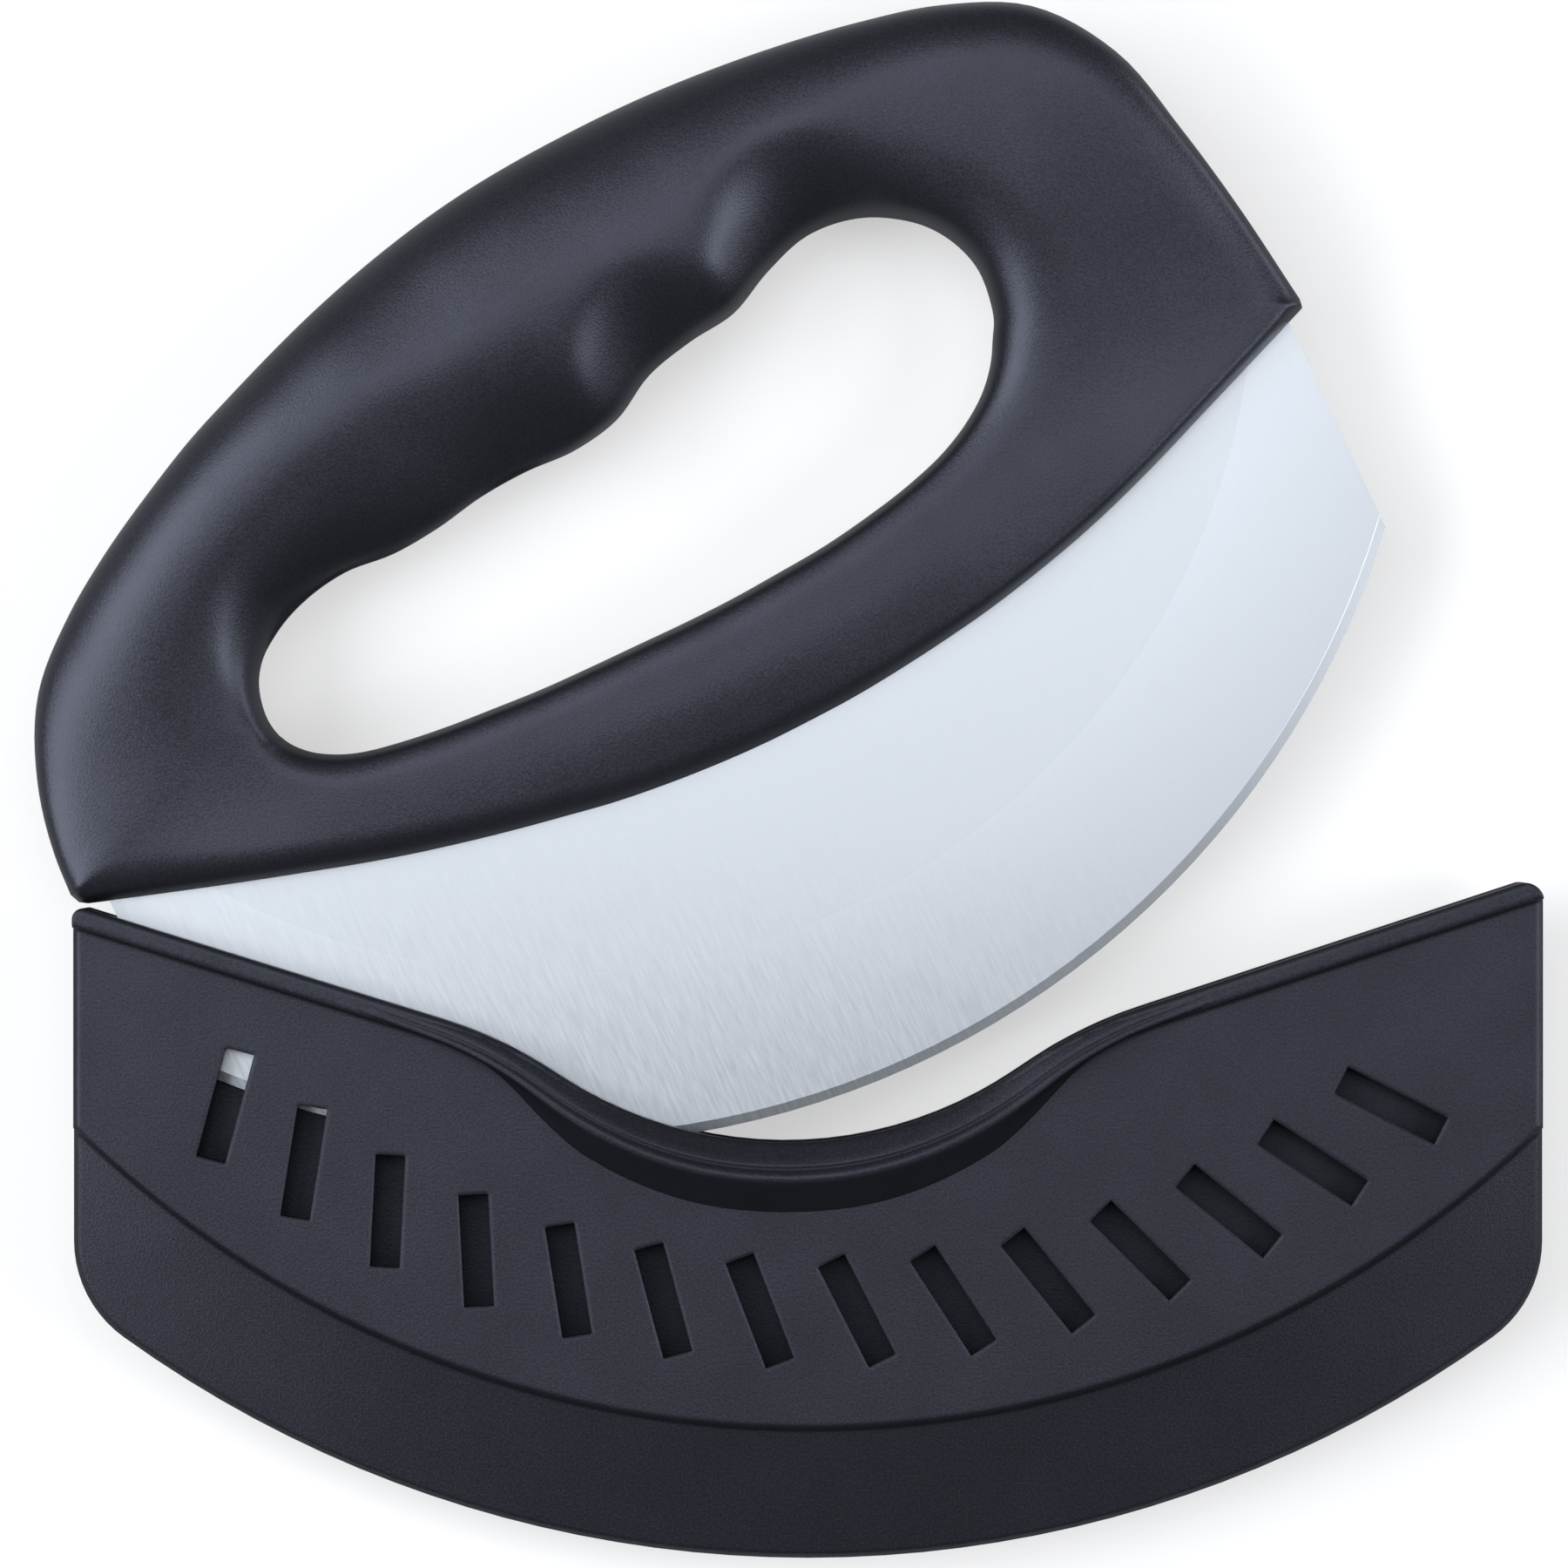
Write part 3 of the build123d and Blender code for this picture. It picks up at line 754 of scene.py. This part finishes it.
def grinding_marks(tree, flat, sizes):
    """Pattern of marks that run upright on the handle, and their strength above the edge."""
    upright = add_node(
        tree, "ShaderNodeMapping", {"Vector": flat, "Rotation": (0, 0, -KNIFE_TURN)}
    )
    across = 1 / sizes.mark_spacing
    stretched = add_node(
        tree,
        "ShaderNodeVectorMath",
        {0: upright.outputs["Vector"], 1: (across, MARK_THINNESS * across, 1)},
        operation="MULTIPLY",
    )
    marks = add_node(
        tree,
        "ShaderNodeTexNoise",
        {"Vector": stretched.outputs["Vector"], "Scale": 1.0, "Detail": 3.0, "Roughness": 0.7},
    )
    # The marks are strong at the lowest part of the edge and fade out above it
    parts = add_node(tree, "ShaderNodeSeparateXYZ", {"Vector": flat})
    strength = add_node(
        tree,
        "ShaderNodeMapRange",
        {
            "Value": parts.outputs["Y"],
            "From Min": sizes.mark_height - sizes.edge_radius,
            "From Max": -sizes.edge_radius,
            "To Min": 0.0,
            "To Max": 1.0,
        },
        interpolation_type="SMOOTHSTEP",
    )
    return marks.outputs["Fac"], strength.outputs["Result"]


def blade_tone(tree, radius, strength, sizes):
    """Brightness of the flat, the wide grind and the cutting bevel, with painted light and shade
    on the grind and the bevel.
    """
    # Painted light and shade: the grind is paler than the flat where it begins, which hides the
    # step in its reflection at the border, and darker at the edge
    ground = add_node(
        tree,
        "ShaderNodeMapRange",
        {
            "Value": radius,
            "From Min": sizes.edge_radius - sizes.grind_width,
            "From Max": sizes.edge_radius,
            "To Min": 1.08,
            "To Max": 0.97,
        },
    )
    # Painted shade: the bevel is darkened to dim its bright reflection of the side lamps, less so
    # at the lowest part of the edge, where the marks are strong
    bevel = add_node(
        tree, "ShaderNodeMath", {0: strength, 1: 0.45, 2: 0.55}, operation="MULTIPLY_ADD"
    )
    tone = 1.0
    for width, part in (
        (sizes.grind_width, ground.outputs["Result"]),
        (sizes.bevel_width, bevel.outputs["Value"]),
    ):
        start = sizes.edge_radius - width
        on_part = add_node(
            tree, "ShaderNodeMath", {0: radius, 1: start}, operation="GREATER_THAN"
        )
        mixed = add_node(
            tree,
            "ShaderNodeMix",
            {"Factor": on_part.outputs["Value"], "A": tone, "B": part},
            data_type="FLOAT",
        )
        tone = mixed.outputs[0]
    return tone


def ground_steel(sizes):
    """Stainless steel, satin finished, with fine grinding marks that run down to the edge, and
    painted light and shade on its grind, its bevel and towards its lowest edge.
    """
    material, tree = new_material("ground_stainless_steel")
    place = add_node(tree, "ShaderNodeTexCoord").outputs["Object"]
    flat, radius = around(tree, place, KNIFE_PLACE @ EDGE_CENTRE_AS_DRAWN)
    marks, strength = grinding_marks(tree, flat, sizes)
    depth = add_node(
        tree, "ShaderNodeMath", {0: strength, 1: 0.92, 2: 0.08}, operation="MULTIPLY_ADD"
    )
    # Grinding marks, which on the whole also darken the steel towards the lowest part of the edge:
    # the marks are real, the darkening is painted shade
    marks_and_painted_shade = add_node(
        tree,
        "ShaderNodeMapRange",
        {"Value": marks, "From Min": 0.3, "From Max": 0.7, "To Min": 0.76, "To Max": 1.02},
    )
    marked = add_node(
        tree,
        "ShaderNodeMix",
        {"Factor": depth.outputs["Value"], "A": 1.0, "B": marks_and_painted_shade.outputs["Result"]},
        data_type="FLOAT",
    )
    shaded = add_node(
        tree,
        "ShaderNodeMath",
        {0: marked.outputs[0], 1: blade_tone(tree, radius, strength, sizes)},
        operation="MULTIPLY",
    )
    tinted = add_node(
        tree,
        "ShaderNodeVectorMath",
        {0: tuple(sizes.colour), 1: shaded.outputs["Value"]},
        operation="MULTIPLY",
    )
    bump = add_node(
        tree,
        "ShaderNodeBump",
        {"Height": marks, "Strength": depth.outputs["Value"], "Distance": 0.01 * MM},
    )
    shader = add_node(
        tree,
        "ShaderNodeBsdfPrincipled",
        {
            "Base Color": tinted.outputs["Vector"],
            "Metallic": 1.0,
            "Roughness": 0.42,
            "Normal": bump.outputs["Normal"],
        },
    )
    add_node(tree, "ShaderNodeOutputMaterial", {"Surface": shader.outputs["BSDF"]})
    return material


def finish_node(node, material):
    """Gives a CAD node its material."""
    slots = frame["nodes"][node].data.materials
    slots.clear()
    slots.append(material)


def studio_world():
    """Dim white room that looks pale to the camera."""
    world = bpy.data.worlds.new("studio")
    world.use_nodes = True
    tree = world.node_tree
    tree.nodes.clear()
    seen = add_node(tree, "ShaderNodeLightPath").outputs["Is Camera Ray"]
    white = (1, 1, 1, 1)
    dim = add_node(tree, "ShaderNodeBackground", {"Color": white, "Strength": ROOM_LIGHT})
    pale = add_node(tree, "ShaderNodeBackground", {"Color": white, "Strength": ROOM_SEEN})
    mixed = add_node(
        tree,
        "ShaderNodeMixShader",
        {0: seen, 1: dim.outputs["Background"], 2: pale.outputs["Background"]},
    )
    add_node(tree, "ShaderNodeOutputWorld", {"Surface": mixed.outputs["Shader"]})
    return world


def studio_floor(colour):
    """Matte painted board, lifted to white for the camera."""
    material, tree = new_material("studio_floor")
    seen = add_node(tree, "ShaderNodeLightPath").outputs["Is Camera Ray"]
    lift = add_node(tree, "ShaderNodeMath", {0: seen, 1: FLOOR_LIFT}, operation="MULTIPLY")
    matte = add_node(tree, "ShaderNodeBsdfDiffuse", {"Color": (*colour, 1)})
    glow = add_node(
        tree, "ShaderNodeEmission", {"Color": (1, 1, 1, 1), "Strength": lift.outputs["Value"]}
    )
    both = add_node(
        tree, "ShaderNodeAddShader", {0: matte.outputs["BSDF"], 1: glow.outputs["Emission"]}
    )
    add_node(tree, "ShaderNodeOutputMaterial", {"Surface": both.outputs["Shader"]})
    return material


def add_lamp(name, place, aim, width, height, power):
    """A soft box that shines from its place towards its aim."""
    lamp = bpy.data.lights.new(name, "AREA")
    lamp.shape = "RECTANGLE"
    lamp.size = width
    lamp.size_y = height
    lamp.energy = power
    box = bpy.data.objects.new(name, lamp)
    box.location = place
    box.rotation_euler = (Vector(aim) - Vector(place)).to_track_quat("-Z", "Y").to_euler()
    bpy.context.scene.collection.objects.link(box)


def add_camera(sizes):
    """A camera that looks straight down, from where it sees the picture's width."""
    lens = bpy.data.cameras.new("camera")
    lens.lens = sizes.lens
    camera = bpy.data.objects.new("camera", lens)
    reach = sizes.picture_width * sizes.lens / lens.sensor_width
    camera.location = (*CAMERA_OFFSET, HINGE.z + reach)
    bpy.context.scene.collection.objects.link(camera)
    bpy.context.scene.camera = camera


class KNIFE_OT_stage(bpy.types.Operator):
    """Adds the floor, the light and the camera"""

    bl_idname = "knife.stage"
    bl_label = "Set Stage"

    def execute(self, context):
        sizes = context.scene.knife_stage
        context.scene.view_settings.view_transform = "Standard"
        context.scene.world = studio_world()

        bm = bmesh.new()
        bmesh.ops.create_grid(bm, x_segments=1, y_segments=1, size=FLOOR_REACH)
        floor = add_piece("floor", bm, studio_floor(sizes.floor_colour))

        for lamp in LAMPS:
            add_lamp(*lamp)
        add_camera(sizes)
        return {"FINISHED"}


class KNIFE_OT_handle(bpy.types.Operator):
    """Shapes the handle and gives it its plastic"""

    bl_idname = "knife.handle"
    bl_label = "Shape Handle"

    def execute(self, context):
        sizes = context.scene.knife_handle
        plastic = moulded_plastic(
            "charcoal_handle_plastic",
            sizes.colour,
            grain_size=0.3 * MM,
            depth=0.04 * MM,
            rounding=0.35 * MM,
            shine=0.52,
        )
        piece = add_piece("moulded_handle", handle_mesh(sizes), plastic)
        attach(piece, "knife")
        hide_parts("handle")
        return {"FINISHED"}


class KNIFE_OT_blade(bpy.types.Operator):
    """Gives the blade its ground steel"""

    bl_idname = "knife.blade"
    bl_label = "Finish Blade"

    def execute(self, context):
        finish_node("blade", ground_steel(context.scene.knife_blade))
        return {"FINISHED"}


class KNIFE_OT_sheath(bpy.types.Operator):
    """Gives both halves of the sheath their plastic, and shapes the lips round the dip"""

    bl_idname = "knife.sheath"
    bl_label = "Finish Sheath"

    def execute(self, context):
        sizes = context.scene.knife_sheath
        plastic = moulded_plastic(
            "charcoal_sheath_plastic",
            sizes.colour,
            sizes.grain_size,
            depth=0.035 * MM,
            rounding=0.8 * MM,
            shine=0.4,
            fall=band_fall,
        )
        finish_node("sheath_front", plastic)
        finish_node("sheath_back", plastic)
        lip_plastic = moulded_plastic(
            "charcoal_lip_plastic",
            sizes.colour,
            sizes.grain_size,
            depth=0.035 * MM,
            rounding=0.2 * MM,
            shine=0.36,
            # Painted shade on the lip's slopes that lean down the picture
            painted_shade_shine=0.25,
        )
        lips = add_piece("dip_lips", lip_mesh(sizes), lip_plastic)
        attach(lips, "sheath")
        return {"FINISHED"}


class KNIFE_PT_panel(bpy.types.Panel):
    """Lists the steps that dress the knife"""

    bl_idname = "KNIFE_PT_panel"
    bl_label = "Pizza Knife"
    bl_space_type = "VIEW_3D"
    bl_region_type = "UI"
    bl_category = "Pizza Knife"

    def draw(self, context):
        for name, operator in (
            ("knife_stage", KNIFE_OT_stage),
            ("knife_handle", KNIFE_OT_handle),
            ("knife_blade", KNIFE_OT_blade),
            ("knife_sheath", KNIFE_OT_sheath),
        ):
            column = self.layout.column(align=True)
            settings = getattr(context.scene, name)
            for key in settings.__annotations__:
                column.prop(settings, key)
            column.operator(operator.bl_idname)


SETTINGS = {
    "knife_stage": StageSettings,
    "knife_handle": HandleSettings,
    "knife_blade": BladeSettings,
    "knife_sheath": SheathSettings,
}
CLASSES = (
    *SETTINGS.values(),
    KNIFE_OT_stage,
    KNIFE_OT_handle,
    KNIFE_OT_blade,
    KNIFE_OT_sheath,
    KNIFE_PT_panel,
)


def register():
    for cls in CLASSES:
        bpy.utils.register_class(cls)
    for name, group in SETTINGS.items():
        setattr(bpy.types.Scene, name, PointerProperty(type=group))


def unregister():
    for name in SETTINGS:
        delattr(bpy.types.Scene, name)
    for cls in reversed(CLASSES):
        bpy.utils.unregister_class(cls)


def main():
    register()
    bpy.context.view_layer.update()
    bpy.ops.knife.stage()
    bpy.ops.knife.handle()
    bpy.ops.knife.blade()
    bpy.ops.knife.sheath()


if __name__ == "__main__":
    main()
